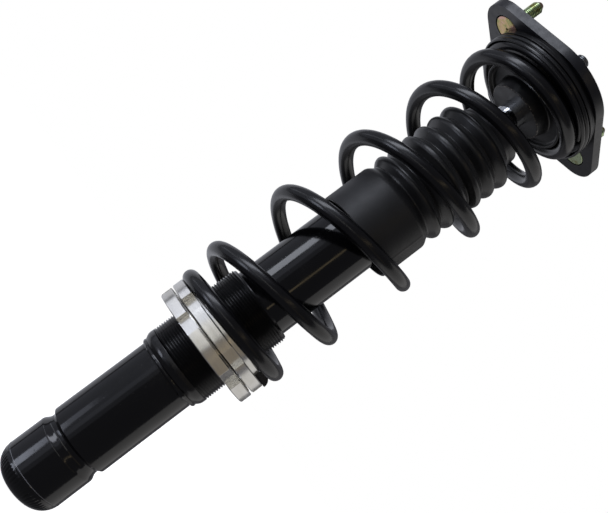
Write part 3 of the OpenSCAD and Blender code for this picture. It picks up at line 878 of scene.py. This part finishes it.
def makeMountStuds(finish):
    m = mountStuds
    bottom = low("mount_studs")
    top = high("mount_studs")
    neckTop = bottom + m["neckTop"]
    threadTop = top - m["tipLength"]
    studs = bmesh.new()
    for x, y in studPlaces:
        bm = bmesh.new()
        turned(bm, [(0, bottom + m["dimple"]), (m["dimple"], bottom), (m["head"], bottom, 0.5),
                    (m["head"], bottom + m["headHeight"], 0.3),
                    (m["neck"], bottom + m["headHeight"]), (m["neck"], neckTop, 0.2), (0, neckTop)], steps=72)
        helicalThread(bm, studRadius - m["depth"], studRadius, m["pitch"], neckTop - 0.5, threadTop, 48,
                      lead=0.8)
        turned(bm, [(0, threadTop - 0.5), (studRadius - m["depth"], threadTop - 0.5),
                    (studRadius - m["depth"], threadTop, 0.3), (m["tip"], top, 0.4), (0, top)], steps=48)
        bmesh.ops.translate(bm, vec=(x, y, 0), verts=bm.verts)
        joinInto(studs, bm)
    return finishPiece(toObject(studs, "mountStuds"), "top_mount", "zinc_yellow", finish, "mount_studs")


# ---- camera, light and floor

cameraView = {
    "place": (0.0, -0.57392, 0.16652), "right": (0.60134727, -0.11368726, 0.79085819),
    "up": (-0.79897911, -0.08095329, 0.59588502), "lens": 46.75, "shift": (-0.02845, 0.00855),
}


def makeCamera():
    c = cameraView
    data = bpy.data.cameras.new("camera")
    data.lens = c["lens"]
    data.sensor_width = 36
    data.shift_x, data.shift_y = c["shift"]
    camera = bpy.data.objects.new("camera", data)
    right = Vector(c["right"]).normalized()
    up = Vector(c["up"]).normalized()
    back = right.cross(up)
    turn = Matrix((right, up, back)).transposed().to_4x4()
    camera.matrix_world = Matrix.Translation(c["place"]) @ turn
    bpy.context.scene.collection.objects.link(camera)
    bpy.context.scene.camera = camera


studio = {
    "floorSize": 8.0, "floorColour": "#ffffff", "floorGlow": 1.0, "backdrop": "#ffffff",
    "dim": "#f3f3ff", "dimness": 0.11,
    # name, turn from the near side towards +X, distance, width, lowest, highest, brightness, colour
    "lights": [
        ("keyStrip", -58.5, 1.0, 0.36, 0.24, 1.3, 4.4, "#eef3ff"),
        ("lowKey", -58.5, 1.0, 0.36, -0.7, -0.25, 3.8, "#e6edff"),
        ("lowKeyFade", -60, 1.0, 0.32, -0.25, -0.19, 2.2, "#e6edff"),
        ("lowKeyEnd", -62, 1.0, 0.28, -0.19, -0.12, 0.8, "#e6edff"),
        ("leftFront", -72, 0.95, 1.7, -0.7, 1.5, 0.3, "#e8eeff"),
        ("leftFade", -30, 1.0, 0.45, -0.7, 1.5, 0.14, "#e8eeff"),
        ("collarSoft", -72, 0.93, 1.5, 0.075, 0.165, 1.0, "#f0f4ff"),
        ("collarFront", -14, 1.0, 0.64, 0.075, 0.165, 1.3, "#fbfaf4"),
        ("collarWarm", 38, 0.93, 1.1, 0.075, 0.165, 0.22, "#ffe2a4"),
        ("leftBack", -150, 0.9, 1.0, -0.7, 1.5, 0.5, "#f2f5ff"),
        ("rightWall", 108, 0.95, 0.98, -0.7, 1.5, 0.52, "#fffdfa"),
        ("rightBack", 148, 0.95, 0.5, -0.7, 1.5, 0.05, "#fffdfa"),
        ("lowBack", 180, 1.1, 0.8, -1.1, 0.0, 0.12, "#f6f7ff"),
        ("warmStrip", 24, 1.1, 0.09, 0.2, 1.2, 1.0, "#ffe6b4"),
    ],
}


def makeStudio():
    s = studio
    bpy.context.scene.view_settings.view_transform = "Standard"
    floor = bmesh.new()
    bmesh.ops.create_grid(floor, x_segments=2, y_segments=2, size=s["floorSize"] / 2 / mm)
    bmesh.ops.translate(floor, vec=(0, 0, low("base_cap") - 0.2), verts=floor.verts)
    floor = toObject(floor, "floor")
    material, tree, shader, place = newFinish("paleFloor", Roughness=0.9)
    link(tree, tinted(tree, grain(tree, place, 400, 2), (0.3, "#f0f0f0"), (0.7, "#f6f6f6")),
         shader, "Base Color")
    shader.inputs["Emission Color"].default_value = colour(s["floorColour"])
    shader.inputs["Emission Strength"].default_value = s["floorGlow"]
    floor.data.materials.append(material)
    floor.visible_glossy = False
    floor.visible_shadow = False
    floor.visible_diffuse = False

    world = bpy.data.worlds.new("studio")
    bpy.context.scene.world = world
    world.use_nodes = True
    tree = world.node_tree
    tree.nodes.clear()
    seen = addNode(tree, "ShaderNodeLightPath").outputs["Is Camera Ray"]
    white = addNode(tree, "ShaderNodeBackground", {"Color": colour(s["backdrop"]), "Strength": 1.0})
    dim = addNode(tree, "ShaderNodeBackground", {"Color": colour(s["dim"]), "Strength": s["dimness"]})
    both = addNode(tree, "ShaderNodeMixShader", {0: seen, 1: dim.outputs[0], 2: white.outputs[0]})
    addNode(tree, "ShaderNodeOutputWorld", {"Surface": both.outputs[0]})

    for name, turn, distance, width, bottom, top, brightness, tint in s["lights"]:
        data = bpy.data.lights.new(name, "AREA")
        data.shape = "RECTANGLE"
        data.size = width
        data.size_y = top - bottom
        data.energy = brightness * math.pi * width * (top - bottom)
        data.color = colour(tint)[:3]
        light = bpy.data.objects.new(name, data)
        a = math.radians(turn)
        outward = Vector((math.sin(a), -math.cos(a), 0))
        side = Vector((0, 0, 1)).cross(outward)
        axes = Matrix((side, Vector((0, 0, 1)), outward)).transposed().to_4x4()
        light.matrix_world = Matrix.Translation(
            outward * distance + Vector((0, 0, (bottom + top) / 2))) @ axes
        light.visible_camera = False
        bpy.context.scene.collection.objects.link(light)


# ---- build

makeCamera()
makeStudio()
print("camera and studio done")

enamel = glossEnamel()
aluminium = turnedAluminium()
painted = seatPaint()
plateFinish = plateAnodise()
steel = machinedSteel()
polished = bearingSteel()
makeStrutTube(enamel)
makeBaseCap(enamel)
makeSleeveWeld(enamel)
makeThreadedSleeve(threadCoat())
makeCollars(aluminium)
makeCoilSpring(springCoat())
makeDustBoot(bootRubber())
makePistonRod(chromePlate(), steel)
makeSpringSeat(painted)
makeSeatIsolator(seatRubber())
makeBearingCover(painted)
makeTopPlate(plateFinish)
makeMountStuds(zincYellow())
print("new pieces done")

seal = sealRubber()
zinc = zincNut()
nodeFinishes = {
    "foot_valve": steel, "pressure_tube": steel, "rod_guide": castAluminium(), "guide_bush": bushBronze(),
    "rod_seal": seal, "gland_nut": blackOxide(), "piston": sinteredIron(), "piston_ring": ringPtfe(),
    "piston_nut": zinc, "rebound_stop": seal, "bump_stop": bumpFoam(), "bearing_lower_race": polished,
    "bearing_upper_race": polished, "bearing_balls": polished, "bearing_cage": cageNylon(),
    "ball_race": steel, "retaining_ring": bpy.data.materials["blackOxide"], "pillow_ball": polished,
    "top_washer": zinc, "top_nut": zinc,
}
for node, finish in nodeFinishes.items():
    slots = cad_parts[node].material_slots
    for slot in slots:
        slot.material = finish
print("frame parts finished")
